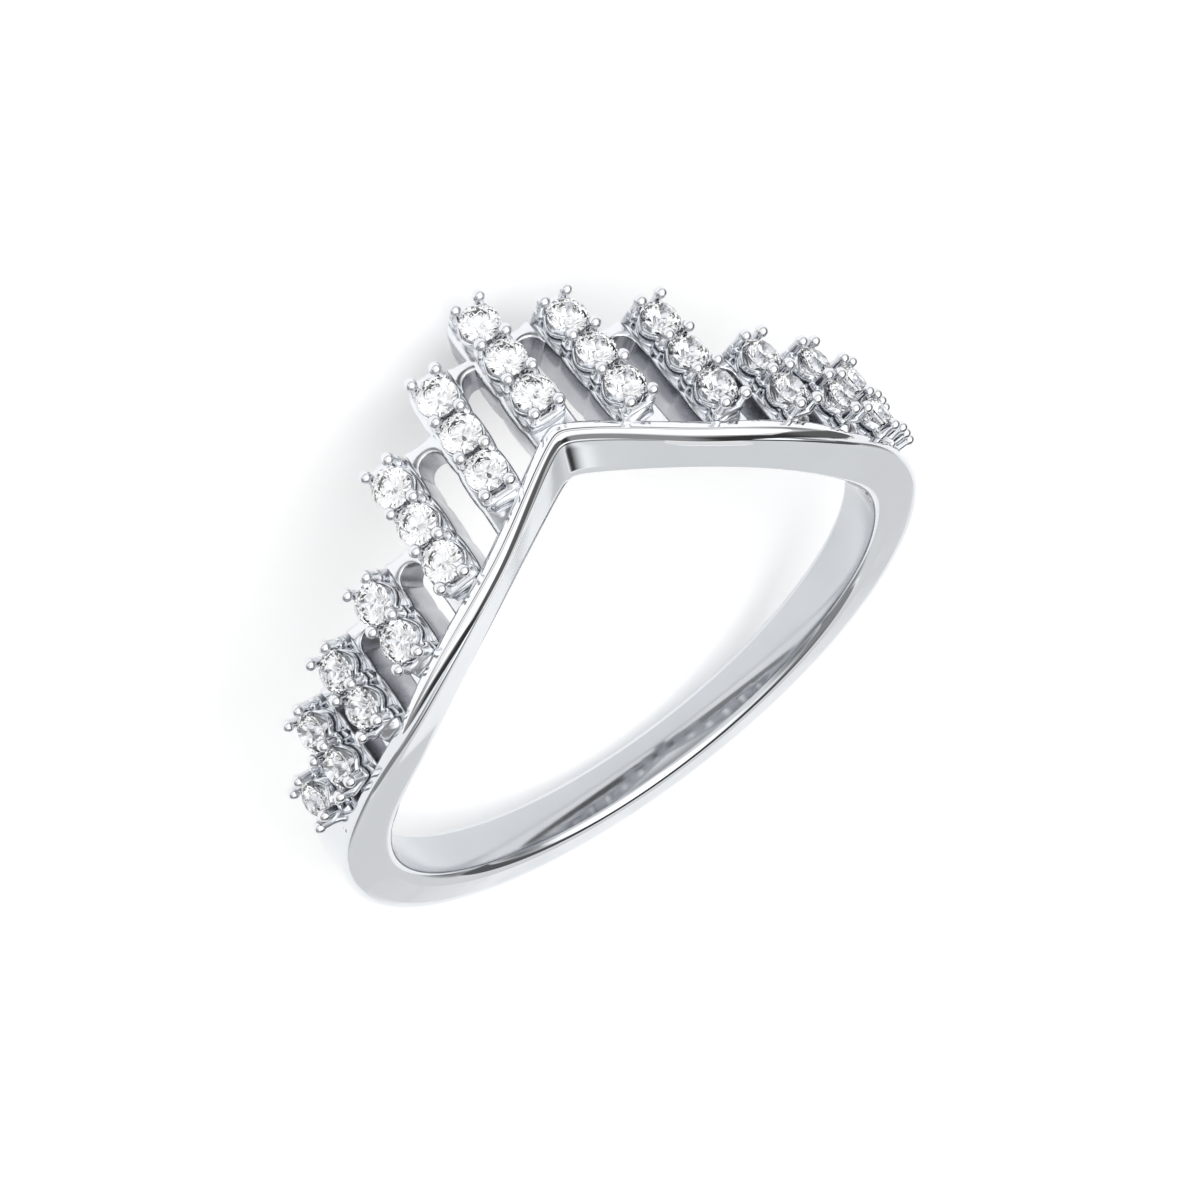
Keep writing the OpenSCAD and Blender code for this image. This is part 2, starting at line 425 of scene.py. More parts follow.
def grey_ramp(tree: Tree, place: Socket, stops: Stops) -> Socket:
    """Adds a ramp of greys.

    Args:
        tree: The node tree.
        place: Where along the ramp a point lies.
        stops: Place and tone of each stop.

    Returns:
        The colour's output.
    """
    ramp = tree.nodes.new("ShaderNodeValToRGB")
    elements = ramp.color_ramp.elements
    elements.remove(elements[-1])
    elements[0].position = stops[0][0]
    elements[0].color = (*[stops[0][1]] * 3, 1.0)
    for spot, tone in stops[1:]:
        elements.new(spot).color = (tone, tone, tone, 1.0)
    tree.links.new(place, ramp.inputs["Fac"])
    return ramp.outputs["Color"]


@cache
def polishing_marks() -> Tree:
    """Shader group for polished metal: faint polishing marks and a little unevenness.

    Returns:
        The node group, built once.
    """
    tree = bpy.data.node_groups.new("polishing_marks", "ShaderNodeTree")
    for side, name, kind in (("INPUT", "Tone", "Color"), ("INPUT", "Shade", "Color"), ("INPUT", "Scale", "Float"),
                             ("INPUT", "Least Roughness", "Float"), ("INPUT", "Most Roughness", "Float"),
                             ("INPUT", "Mark Depth", "Float"), ("OUTPUT", "Color", "Color"),
                             ("OUTPUT", "Roughness", "Float"), ("OUTPUT", "Height", "Float")):
        tree.interface.new_socket(name=name, in_out=side, socket_type="NodeSocket" + kind)
    given = tree.nodes.new("NodeGroupInput")
    result = tree.nodes.new("NodeGroupOutput")
    coords = tree.nodes.new("ShaderNodeTexCoord")
    cloud = tree.nodes.new("ShaderNodeTexNoise")
    cloud.inputs["Detail"].default_value = 3.0
    marks = tree.nodes.new("ShaderNodeTexNoise")
    marks.inputs["Detail"].default_value = 4.0
    stretch = tree.nodes.new("ShaderNodeMapping")
    stretch.inputs["Scale"].default_value = (1.0, 7.0, 1.0)
    rough = tree.nodes.new("ShaderNodeMapRange")
    rough.inputs["From Min"].default_value = 0.35
    rough.inputs["From Max"].default_value = 0.65
    blend = tree.nodes.new("ShaderNodeMix")
    blend.data_type = "RGBA"
    tree.links.new(given.outputs["Tone"], blend.inputs[6])
    tree.links.new(given.outputs["Shade"], blend.inputs[7])
    tree.links.new(blend.outputs[2], result.inputs["Color"])
    tree.links.new(worked_out(tree, "MULTIPLY", given.outputs["Scale"], 9.0), marks.inputs["Scale"])
    height = worked_out(tree, "MULTIPLY", marks.outputs["Fac"], given.outputs["Mark Depth"])
    tree.links.new(height, result.inputs["Height"])
    joined(tree, (coords, "Object", cloud, "Vector"), (given, "Scale", cloud, "Scale"),
           (coords, "Object", stretch, "Vector"), (stretch, "Vector", marks, "Vector"),
           (cloud, "Fac", rough, "Value"), (given, "Least Roughness", rough, "To Min"),
           (given, "Most Roughness", rough, "To Max"), (cloud, "Fac", blend, "Factor"),
           (rough, "Result", result, "Roughness"))
    return tree


def node_material(name: str) -> bpy.types.Material:
    """Makes a material with a Principled shader.

    Args:
        name: The material's name.

    Returns:
        The material.
    """
    material = bpy.data.materials.new(name)
    material.use_nodes = True
    return material


@dataclass(frozen=True)
class MetalFinish:
    """White metal, polished or satin."""

    name: str
    tone: Tint
    shade: Tint
    scale: float
    roughness: Pair
    mark_depth: float = 0.02

    @cache
    def build(self) -> bpy.types.Material:
        """Builds the material once.

        Returns:
            The material.
        """
        material = node_material(self.name)
        tree = material.node_tree
        shader = tree.nodes["Principled BSDF"]
        shader.inputs["Metallic"].default_value = 1.0
        group = tree.nodes.new("ShaderNodeGroup")
        group.node_tree = polishing_marks()
        values = ((*self.tone, 1.0), (*self.shade, 1.0), self.scale, *self.roughness, self.mark_depth)
        for socket, value in zip(group.inputs, values):
            socket.default_value = value
        bump = tree.nodes.new("ShaderNodeBump")
        bump.inputs["Strength"].default_value = 0.3
        bump.inputs["Distance"].default_value = 0.00002
        joined(tree, (group, "Height", bump, "Height"), (bump, "Normal", shader, "Normal"),
               (group, "Color", shader, "Base Color"), (group, "Roughness", shader, "Roughness"))
        return material


@dataclass(frozen=True)
class StoneFinish:
    """Clear brilliant stone with faint inner cloud."""

    name: str = "clear_stone"
    ior: float = 2.15
    cloud: Tint = (0.96, 0.97, 1.0)
    cloud_scale: float = 1400.0

    def build(self) -> bpy.types.Material:
        """Builds the material.

        Returns:
            The material.
        """
        material = node_material(self.name)
        shader = material.node_tree.nodes["Principled BSDF"]
        shader.inputs["IOR"].default_value = self.ior
        shader.inputs["Transmission Weight"].default_value = 1.0
        shader.inputs["Roughness"].default_value = 0.0
        tint = cloud_colour(material.node_tree, self.cloud_scale, self.cloud, (1.0, 1.0, 1.0))
        material.node_tree.links.new(tint, shader.inputs["Base Color"])
        return material


RAIL_POLISH = MetalFinish("rail_polish", tone=(0.88, 0.885, 0.9), shade=(0.83, 0.84, 0.86), scale=500.0,
                          roughness=(0.03, 0.06))
BAND_POLISH = MetalFinish("band_polish", tone=(0.745, 0.77, 0.795), shade=(0.69, 0.715, 0.745), scale=600.0,
                          roughness=(0.05, 0.1))
# Painted reflection: the finger side is darker, with broad blotches that stand in for mirrored dark panels.
INNER_PAINTED_REFLECTION = MetalFinish("inner_polish", tone=(0.68, 0.7, 0.725), shade=(0.46, 0.48, 0.51), scale=170.0,
                           roughness=(0.05, 0.12))
CROWN_POLISH = MetalFinish("crown_polish", tone=(0.84, 0.86, 0.885), shade=(0.75, 0.77, 0.805), scale=1500.0,
                           roughness=(0.05, 0.14))
PRONG_POLISH = MetalFinish("prong_polish", tone=(0.84, 0.85, 0.87), shade=(0.74, 0.75, 0.78), scale=2500.0,
                           roughness=(0.04, 0.1))
# Painted shade: faces inside the slots are darker than the polished metal, besides being rougher.
RECESS_SATIN_AND_SHADE = MetalFinish("recess_satin", tone=(0.6, 0.61, 0.64), shade=(0.44, 0.45, 0.48), scale=1100.0,
                           roughness=(0.16, 0.3), mark_depth=0.04)
# Painted shade: the arches under the saddles are darker still, besides being rougher.
ARCH_SATIN_AND_SHADE = MetalFinish("arch_satin", tone=(0.42, 0.43, 0.46), shade=(0.28, 0.29, 0.32), scale=1100.0,
                         roughness=(0.2, 0.35), mark_depth=0.05)
CLEAR_STONE = StoneFinish()


def finish_piece(piece: Piece, finish: MetalFinish) -> None:
    """Gives a piece its finish and its body, and logs it.

    Args:
        piece: The finished object.
        finish: The metal finish it takes.
    """
    piece.data.materials.clear()
    piece.data.materials.append(finish.build())
    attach(piece, "root")
    LOG.info("%s: %d faces", piece.name, len(piece.data.polygons))


def dress_some(piece: Piece, finish: MetalFinish, belongs: Callable[[Vector, Vector], bool]) -> None:
    """Gives some faces of a finished piece a second finish.

    Args:
        piece: The piece.
        finish: The second finish.
        belongs: Tells from a face's middle and its normal, both upright, whether it takes the finish.
    """
    piece.data.materials.append(finish.build())
    back = LYING.inverted()
    turn = back.to_3x3().normalized()
    for face in piece.data.polygons:
        if belongs(back @ face.center, turn @ face.normal):
            face.material_index = 1


@dataclass
class Band:
    """Plain shank and chevron band as one smooth hoop."""

    sizes: RingSizes
    name: str = "shank_and_band"
    steps: int = 420
    edge_points: int = 6
    side_points: int = 6
    low_edge_r: float = 0.1
    top_edge_r: float = 0.06
    edge_start: float = 40.0
    edge_span: float = 40.0
    back_start: float = 66.0
    back_span: float = 16.0
    bevel: float = 0.9
    point_turn: float = 4.0
    point_steps: int = 41
    comfort: float = 0.05
    finger_slack: float = 0.01

    def section(self, angle: float) -> list[Point]:
        """Section of the hoop at an angle from the front.

        Args:
            angle: Angle from the front in degrees, positive towards +x.

        Returns:
            The section's points.
        """
        s = self.sizes
        a = radians(angle)
        turn = abs((angle + 180) % 360 - 180)
        back = smooth_share((turn - self.back_start) / self.back_span)
        outer = s.outer_r - s.band_back * (1 - back)
        inner = s.finger_r + self.comfort
        top = s.low_z + s.shank_w
        low_share = smooth_share((turn - self.edge_start) / self.edge_span)
        r_low = self.low_edge_r + (s.edge_r - self.low_edge_r) * low_share
        r_top = self.top_edge_r + (s.edge_r - self.top_edge_r) * back
        points: list[Point] = []
        corners = ((outer, 1, 1, r_top), (inner, -1, 1, r_top), (inner, -1, -1, r_low), (outer, 1, -1, r_low))
        for k, (r, out, up, edge) in enumerate(corners):
            for radius, rise in round_corner((r, 0.0), (out, up), edge, k, self.edge_points):
                x = radius * sin(a)
                y = -radius * cos(a)
                if turn < 90:
                    low = s.low(x) + (self.bevel * s.lift(x) if k == 3 else 0.0)
                    high = s.foot(x) * (1 - back) + top * back
                else:
                    low = s.low_z
                    high = top
                points.append((x, y, (high if up > 0 else low) + rise))
        return self.crowned(points, a)

    def crowned(self, points: list[Point], a: float) -> list[Point]:
        """Adds points between the rounded corners and crowns the face towards the finger.

        Args:
            points: The section's rounded corners.
            a: Angle of the section in radians.

        Returns:
            The section with its sides divided.
        """
        full: list[Point] = []
        count = self.edge_points
        for k in range(4):
            corner = points[k * count:(k + 1) * count]
            after = points[(k + 1) * count % len(points)]
            full.extend(corner)
            for i in range(1, self.side_points):
                t = i / self.side_points
                swell = self.comfort * 4 * t * (1 - t) if k == 1 else 0.0
                x, y, z = (p + (q - p) * t for p, q in zip(corner[-1], after))
                full.append((x - swell * sin(a), y + swell * cos(a), z))
        return full

    def build(self) -> None:
        """Builds and dresses the hoop."""
        angles = np.linspace(-180, 180, self.steps, endpoint=False)
        closer = np.linspace(-self.point_turn, self.point_turn, self.point_steps)
        angles = np.unique(np.round(np.concatenate([angles, closer]), 4))
        shell = Shell()
        shell.loft([self.section(float(a)) for a in angles], closed=True)
        piece = shell.build(self.name)
        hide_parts("ring_body")
        finish_piece(piece, BAND_POLISH)
        # The finger side takes painted reflection: a darker tone with broad blotches.
        dress_some(piece, INNER_PAINTED_REFLECTION, self.faces_finger)

    def faces_finger(self, spot: Vector, _: Vector) -> bool:
        """Tells whether a face lies on the side towards the finger, which takes the darker, blotched finish of
        painted reflection.
        """
        return hypot(spot.x, spot.y) < self.sizes.finger_r + self.comfort + self.finger_slack


@dataclass
class Rail:
    """Polished rail along the V, lofted along its path, with a chamfer on its lower outer side."""

    sizes: RingSizes
    name: str = "polished_rail"
    steps: int = 160
    around: int = 40
    seat: float = 0.05
    half_h: float = 0.28
    inward: float = 0.45
    slope: float = 0.3
    chamfer: float = 0.8
    edge: float = 0.0007
    edge_at: float = 1.012
    least_share: float = 0.02
    end_rise: float = 0.16
    end_start: float = 3.5
    end_span: float = 4.0
    end_sink: float = 0.04
    crowding: float = 1.3
    out_power: float = 0.6
    up_power: float = 0.75

    def path(self) -> tuple[list[Point], list[float]]:
        """Middle of the rail and its size there.

        Returns:
            The points of the path, and the share of the full section at each.
        """
        s = self.sizes
        points: list[Point] = []
        shares: list[float] = []
        radius = s.outer_r - s.band_back
        for i in range(self.steps + 1):
            t = 2 * i / self.steps - 1
            x = (s.v_reach + s.rail_over) * copysign(1 - (1 - abs(t)) ** self.crowding, t)
            share = max(self.least_share, s.rail_share(x))
            low = s.low(x) + s.lift(x) + self.end_rise * smooth_share((abs(x) - self.end_start) / self.end_span)
            z = low + (s.rail_h - 2 * self.seat) * share / 2 + self.seat
            points.append((x, -sqrt(radius ** 2 - x * x), z))
            shares.append(share)
        return points, shares

    def section(self) -> Outline:
        """Outline of the rail: how far out and how far up each point stands.

        Returns:
            The outline.
        """
        outline = []
        proud = self.sizes.rail_proud + self.sizes.band_back
        for out, up in circle(self.around):
            if up >= 0 or out < 0:
                reach = proud if out > 0 else self.inward
                outline.append((reach * bulged(out, self.out_power), self.half_h * bulged(up, self.up_power)))
            else:
                under = proud * out
                rise = self.slope * under + self.chamfer * under ** 2 + self.edge / (self.edge_at * proud - under)
                outline.append((under, rise - self.half_h))
        return outline

    def build(self) -> None:
        """Builds and dresses the rail."""
        points, shares = self.path()
        outline = self.section()
        shell = Shell()
        rings = []
        for (x, y, z), share in zip(points, shares):
            a = atan2(x, -y)
            ring = []
            for out, up in outline:
                r = hypot(x, y) - self.end_sink * (1 - share) ** 3 + out * share
                ring.append((r * sin(a), -r * cos(a), z + up * share))
            rings.append(ring)
        shell.loft(rings)
        finish_piece(shell.build(self.name), RAIL_POLISH)


@dataclass
class Bar:
    """One stone-set bar: a smooth plate with shallow scallops and a rounded end."""

    sizes: RingSizes
    n: int
    step: float = 0.08
    side_r: float = 0.12
    face_in: float = 0.03
    scallop: float = 0.07
    foot_bump: float = 0.35
    foot_over: float = 0.14
    middle_over: float = 0.12
    corner_r: float = 0.2
    face_round: float = 0.1
    end_depth: float = 0.95
    scallop_power: float = 2.4
    corner_points: int = 5
    end_steps: int = 8

    def widths(self, z: float) -> Pair:
        """Left and right edge of the bar's face at a height along it.

        Args:
            z: Height along the bar.

        Returns:
            The two edges.
        """
        s = self.sizes
        half = s.bar_w / 2
        bump = 0.0
        for middle in s.stone_heights(self.n):
            reach = abs(z - middle) / (s.stone_pitch / 2)
            if reach < 1:
                bump = max(bump, sqrt(1 - reach ** self.scallop_power))
        if z < s.stone_heights(self.n)[-1]:
            bump = max(bump, self.foot_bump)
        cut = self.scallop * (1 - bump)
        left = -half + (s.bar_shift if self.n > 0 else 0.0) + cut
        right = half - (s.bar_shift if self.n < 0 else 0.0) - cut
        return left, right

    def section(self, z: float, grow: float = 1.0, depth_cut: float = 0.0, front_cut: float = 0.0) -> list[Point]:
        """Section across the bar.

        Args:
            z: Height along the bar.
            grow: Share of the full width.
            depth_cut: How much shallower the bar is here.
            front_cut: How far the face lies back here.

        Returns:
            The section's points in the bar's frame.
        """
        s = self.sizes
        left, right = self.widths(z)
        middle = (left + right) / 2
        left = middle + (left - middle) * grow
        right = middle + (right - middle) * grow
        full = s.face_r(self.n) - s.finger_r + (min(z, s.flare_z) - s.pivot_z) * tan(radians(s.flare))
        depth = full - depth_cut
        shrink = (s.crown_r - depth) / s.crown_r
        face = front_cut + self.face_in
        corners = (((right, face), (1, -1)), ((right * shrink, depth), (1, 1)),
                   ((left * shrink, depth), (-1, 1)), ((left, face), (-1, -1)))
        return [(x, y, z) for k, (corner, sides) in enumerate(corners)
                for x, y in round_corner(corner, sides, self.side_r, k - 1, self.corner_points)]

    def foot_heights(self, place: Matrix) -> list[float]:
        """Height at which each edge of the bar ends, a little inside the chevron band.

        Args:
            place: The bar's frame.

        Returns:
            One height for each point of the section.
        """
        s = self.sizes
        heights = [1.0] * len(self.section(1.0))
        if self.n == 0:
            return [s.low(0.0) + s.lift(0.0) + self.middle_over] * len(heights)
        for _ in range(4):
            for k, z in enumerate(heights):
                spot = place @ Vector(self.section(z)[k])
                heights[k] = z + s.low(spot.x) + s.lift(spot.x) + self.foot_over - spot.z
        return heights

    def loft_into(self, shell: Shell) -> None:
        """Adds the bar to a shell.

        Args:
            shell: The shell that collects the bars.
        """
        s = self.sizes
        place = s.bar_frame(self.n)
        top = s.tips[abs(self.n)] + s.bar_over
        straight = top - s.end_r
        foot = self.foot_heights(place)
        rings = []
        steps = int((straight - min(foot)) / self.step)
        for i in range(steps + 1):
            share = i / steps
            rings.append([self.section(low + (straight - low) * share)[k] for k, low in enumerate(foot)])
        for i in range(1, self.end_steps + 1):
            b = radians(90 * i / self.end_steps)
            z = straight + s.end_r * sin(b)
            cut = s.end_r * (1 - cos(b))
            over = min(1.0, max(0.0, (z - (top - self.corner_r)) / self.corner_r))
            fall = 1 - sqrt(1 - over ** 2)
            grow = 1 - self.corner_r * fall / (s.bar_w / 2)
            rings.append(self.section(z, grow, cut * self.end_depth, self.face_round * fall))
        shell.loft_at(place, rings)


@dataclass
class Web:
    """Saddle between two neighbouring bars, with a dip on top and an arch below."""

    sizes: RingSizes
    n: float
    half: float = 0.46
    depth: float = 1.3
    back: float = 0.05
    dip: float = 0.08
    sag: float = 0.3
    foot: float = 0.34
    spring: float = 0.37
    arch_r: float = 0.4
    steps: int = 24
    corner_points: int = 6
    edges: tuple[float, float, float, float] = (0.36, 0.16, 0.07, 0.03)

    def loft_into(self, shell: Shell) -> None:
        """Adds the saddle to a shell.

        Args:
            shell: The shell that collects the saddles.
        """
        tip = self.sizes.tips[round(abs(self.n) + 0.5)]
        spring = tip - self.foot - self.spring
        near = self.back
        deep = self.back + self.depth
        rings = []
        for i in range(self.steps + 1):
            x = -self.half + 2 * self.half * i / self.steps
            high = tip + self.dip + self.sag * x * x
            low = spring + self.arch_r * sqrt(max(0.0, 1 - (x / self.arch_r) ** 2))
            corners = (((deep, high), (1, 1)), ((near, high), (-1, 1)),
                       ((near, low), (-1, -1)), ((deep, low), (1, -1)))
            rings.append([(x, y, z) for k, (corner, sides) in enumerate(corners)
                          for y, z in round_corner(corner, sides, self.edges[k], k, self.corner_points)])
        shell.loft_at(self.sizes.bar_frame(self.n), rings)


@dataclass
class Crown:
    """All bars and the saddles between them."""

    sizes: RingSizes
    recess_in: float = 0.12
    most_outward: float = 0.5
    most_upward: float = 0.35

    def build(self) -> None:
        """Builds and dresses the crown."""
        bars = Shell()
        for n in self.sizes.bar_numbers:
            Bar(self.sizes, n).loft_into(bars)
        webs = Shell()
        for n in range(1, self.sizes.last + 1):
            for side in (-1, 1):
                Web(self.sizes, side * (n - 0.5)).loft_into(webs)
        # The second finish makes faces inside the slots and under the saddles rougher and darkens them as painted
        # shade.
        for name, shell, satin_and_shade in (("crown_bars", bars, RECESS_SATIN_AND_SHADE), ("crown_saddles", webs, ARCH_SATIN_AND_SHADE)):
            piece = shell.build(name)
            finish_piece(piece, CROWN_POLISH)
            dress_some(piece, satin_and_shade, self.in_recess)

    def in_recess(self, spot: Vector, normal: Vector) -> bool:
        """Tells whether a face lies inside a slot, where the metal is rougher and a darker tone paints the shade.

        Args:
            spot: Middle of the face.
            normal: Its normal.

        Returns:
            Whether it lies inside a slot.
        """
        away = Vector((spot.x, spot.y, 0.0)).normalized()
        inside = hypot(spot.x, spot.y) < self.sizes.crown_r - self.recess_in
        return inside and normal.dot(away) < self.most_outward and normal.z < self.most_upward


class Repeats:
    """Node tree that stands one turned shape on every point of a cloud."""

    def __init__(self, name: str) -> None:
        """Builds the tree.

        Args:
            name: Name of the tree.
        """
        self.tree = bpy.data.node_groups.new(name, "GeometryNodeTree")
        for side, kind, label in (("INPUT", "Geometry", "Geometry"), ("INPUT", "Object", "Shape"),
                                  ("INPUT", "Float", "Size"), ("INPUT", "Material", "Finish"),
                                  ("OUTPUT", "Geometry", "Geometry")):
            self.tree.interface.new_socket(name=label, in_out=side, socket_type="NodeSocket" + kind)
        nodes = self.tree.nodes
        given = nodes.new("NodeGroupInput")
        result = nodes.new("NodeGroupOutput")
        shape = nodes.new("GeometryNodeObjectInfo")
        turn = nodes.new("GeometryNodeInputNamedAttribute")
        turn.data_type = "FLOAT_VECTOR"
        turn.inputs["Name"].default_value = "turn"
        place = nodes.new("GeometryNodeInstanceOnPoints")
        solid = nodes.new("GeometryNodeRealizeInstances")
        dress = nodes.new("GeometryNodeSetMaterial")
        joined(self.tree, (given, "Geometry", place, "Points"), (given, "Shape", shape, "Object"),
               (shape, "Geometry", place, "Instance"), (turn, "Attribute", place, "Rotation"),
               (given, "Size", place, "Scale"), (place, "Instances", solid, "Geometry"),
               (solid, "Geometry", dress, "Geometry"), (given, "Finish", dress, "Material"),
               (dress, "Geometry", result, "Geometry"))

    def make(self, name: str, seats: list[Matrix], outline: Outline, around: int,
             finish: MetalFinish, wave: float) -> None:
        """Stands a turned outline on each seat, makes the result a plain mesh and finishes it.

        Args:
            name: The piece's name.
            seats: Frame of each copy in the upright frame, with the shape's axis along z.
            outline: Radius and height of the turned shape, from its axis to its axis.
            around: Number of faces around the shape.
            finish: The metal finish.
            wave: How deep the rim dips four times around.
        """
        shape = self.turned(name + "_shape", outline, around, wave)
        cloud = bpy.data.meshes.new(name + "_seats")
        cloud.from_pydata([tuple(m.translation) for m in seats], [], [])
        turns = cloud.attributes.new("turn", "FLOAT_VECTOR", "POINT")
        turns.data.foreach_set("vector", [v for m in seats for v in m.to_euler("XYZ")])
        carrier = linked(name + "_cloud", cloud)
        modifier = carrier.modifiers.new("repeats", "NODES")
        modifier.node_group = self.tree
        sockets = {item.name: item.identifier for item in self.tree.interface.items_tree
                   if item.in_out == "INPUT"}
        modifier[sockets["Shape"]] = shape
        modifier[sockets["Size"]] = 1.0
        modifier[sockets["Finish"]] = finish.build()
        graph = bpy.context.evaluated_depsgraph_get()
        mesh = bpy.data.meshes.new_from_object(carrier.evaluated_get(graph), depsgraph=graph)
        mesh.name = name
        for helper in (carrier, shape):
            data = helper.data
            bpy.data.objects.remove(helper)
            bpy.data.meshes.remove(data)
        finish_piece(smooth_object(mesh), finish)

    @staticmethod
    def turned(name: str, outline: Outline, around: int, wave: float) -> Piece:
        """Turns an outline about z.

        Args:
            name: The object's name.
            outline: Radius and height of each point; one of radius 0 is a pole.
            around: Number of faces around.
            wave: How deep the rim dips four times around.

        Returns:
            The turned object.
        """
        top = max(z for _, z in outline)
        points: list[Point] = []
        rows: list[list[int]] = []
        for r, z in outline:
            if r < 1e-9:
                rows.append([len(points)])
                points.append((0.0, 0.0, z))
                continue
            rows.append(list(range(len(points), len(points) + around)))
            for k in range(around):
                a = 2 * pi * k / around
                dip = wave * (1 + cos(4 * a)) / 2 * max(0.0, z / top) ** 2
                points.append((r * cos(a), r * sin(a), z - dip))
        faces: list[tuple[int, ...]] = []
        for a, b in zip(rows, rows[1:]):
            for k in range(around):
                m = (k + 1) % around
                if len(a) == 1:
                    faces.append((a[0], b[m], b[k]))
                elif len(b) == 1:
                    faces.append((a[k], a[m], b[0]))
                else:
                    faces.append((a[k], a[m], b[m], b[k]))
        mesh = bpy.data.meshes.new(name)
        mesh.from_pydata(points, [], faces)
        return linked(name, mesh)


@dataclass
class Setting:
    """Collars and prongs that hold the stones."""

    sizes: RingSizes
    collar_r: float = 0.6
    collar_h: float = 0.46
    wall: float = 0.07
    rim_dip: float = 0.14
    root: float = 0.2
    stem_from: float = 0.14
    bead_over: float = 0.015
    tail_r: float = 0.14
    tail_h: float = 0.3
    tail_drop: float = 0.56
    bead_steps: int = 8
    prong_around: int = 20
    collar_around: int = 48

    def seat(self, n: int, x: float, z: float) -> Matrix:
        """Frame of something that stands outwards from a bar's face.

        Args:
            n: Number of the bar.
            x: Place across the bar.
            z: Height along the bar.

        Returns:
            The frame, with z pointing outwards.
        """
        return self.sizes.bar_frame(n) @ Matrix.Translation((x, 0.0, z)) @ Matrix.Rotation(radians(90), 4, "X")

    def prong_outline(self, bead_r: float, height: float) -> Outline:
        """Outline of a stem with a bead on its end.

        Args:
            bead_r: Radius of the bead.
            height: Height of its middle.

        Returns:
            Radius and height of each point.
        """
        stem = min(bead_r, self.sizes.prong_d / 2)
        start = -degrees(acos(stem / bead_r))
        outline = [(0.0, -self.root), (stem, -self.root), (stem, self.stem_from)]
        for i in range(self.bead_steps):
            a = radians(start + (90 - start) * i / self.bead_steps)
            outline.append((bead_r * cos(a), height + bead_r * sin(a)))
        return [*outline, (0.0, height + bead_r)]

    def collar_outline(self) -> Outline:
        """Outline of a collar with a seat for the stone's lower half.

        Returns:
            Radius and height of each point.
        """
        rim = self.collar_h
        outer = self.collar_r
        inner = outer - self.wall
        return [(0.0, -0.15), (outer * 0.9, -0.15), (outer * 0.95, 0.1), (outer, rim - 0.035),
                (outer - 0.02, rim - 0.008), (outer - 0.045, rim), (inner, rim - 0.02),
                (inner - 0.06, rim - 0.1), (0.12, 0.01), (0.0, -0.02)]

    def build(self) -> None:
        """Builds and dresses collars, prongs and the two tail beads."""
        s = self.sizes
        repeats = Repeats("stand_on_seats")
        prongs = [self.seat(n, side * s.prong_span / 2, z)
                  for n in s.bar_numbers for z in s.prong_heights(n) for side in (-1, 1)]
        collars = [self.seat(n, 0.0, z) for n in s.bar_numbers for z in s.stone_heights(n)]
        tails = [self.seat(n, 0.0, s.prong_heights(n)[1] - self.tail_drop) for n in (-s.last, s.last)]
        prong = self.prong_outline(s.bead_d / 2 + self.bead_over, s.prong_h)
        tail = self.prong_outline(self.tail_r, self.tail_h)
        kinds = (("prongs", prongs, prong, self.prong_around, PRONG_POLISH, 0.0),
                 ("collars", collars, self.collar_outline(), self.collar_around, CROWN_POLISH, self.rim_dip),
                 ("tail_beads", tails, tail, self.prong_around, PRONG_POLISH, 0.0))
        for kind in kinds:
            repeats.make(*kind)


@dataclass
class Gallery:
    """Raised metal between the collars, which carries the prongs, and its slope below the last stone."""

    sizes: RingSizes
    rise: float = 0.38
    half_x: float = 0.55
    half_z: float = 0.2
    around: int = 40
    squareness: float = 0.45
    bury: float = 0.12
    bevel: tuple[Pair, ...] = ((0.04, 0.0), (0.012, 0.012), (0.0, 0.04))
    slope: float = 0.55
    least_slope: float = 0.16
    slope_rise: float = 0.92
    slope_in: float = 0.03
    slope_taper: float = 0.25
    slope_least: float = 0.01
    slope_power: float = 0.85
    slope_bury: float = 0.1
    slope_steps: int = 10
    slope_around: int = 24
    end_shift: float = 0.03

    def bridge(self, z: float) -> Rings:
        """Sections of the metal around one pair of prongs.

        Args:
            z: Height of the pair along the bar.

        Returns:
            The sections in the bar's frame.
        """
        rings = []
        for y, take in [(self.bury, 0.0)] + [(depth - self.rise, take) for depth, take in self.bevel]:
            half_x = self.half_x - take
            half_z = self.half_z - take
            rings.append([(half_x * bulged(across, self.squareness), y, z + half_z * bulged(up, self.squareness))
                          for across, up in circle(self.around)])
        return rings

    def apron(self, z: float, room: float) -> Rings:
        """Sections of the slope from the last pair of prongs down to the band.

        Args:
            z: Height of the pair along the bar.
            room: Its height over the band.

        Returns:
            The sections in the bar's frame.
        """
        fall = min(self.slope, max(self.least_slope, room))
        rings = []
        for i in range(self.slope_steps + 1):
            t = i / self.slope_steps
            front = -self.rise * self.slope_rise * sqrt(1 - t * t) - self.slope_least
            half = (self.half_x - self.slope_in) * (1 - self.slope_taper * t)
            rings.append([(half * bulged(across, self.slope_power),
                           front * up ** self.slope_power if up > 0 else self.slope_bury * -up, z - fall * t)
                          for across, up in circle(self.slope_around)])
        return rings

    def build(self) -> None:
        """Builds and dresses the gallery."""
        s = self.sizes
        shell = Shell()
        for n in s.bar_numbers:
            place = s.bar_frame(n)
            heights = s.prong_heights(n)
            for j, z in enumerate(heights):
                side = (j == len(heights) - 1) - (j == 0)
                shell.loft_at(place, self.bridge(z + side * self.end_shift))
            spot = place @ Vector((0.0, 0.0, heights[-1]))
            shell.loft_at(place, self.apron(heights[-1], spot.z - s.foot(spot.x)))
        finish_piece(shell.build("gallery"), CROWN_POLISH)


@dataclass
class Stones:
    """The cut stones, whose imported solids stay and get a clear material."""

    sizes: RingSizes

    def dress(self) -> None:
        """Gives every stone its material."""
        material = CLEAR_STONE.build()
        for n in self.sizes.bar_numbers:
            for j in range(self.sizes.counts[abs(n)]):
                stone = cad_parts[f"stone_{n + self.sizes.last + 1}_{j + 1}"]
                stone.data.materials.clear()
                stone.data.materials.append(material)
                LOG.info("%s dressed", stone.name)


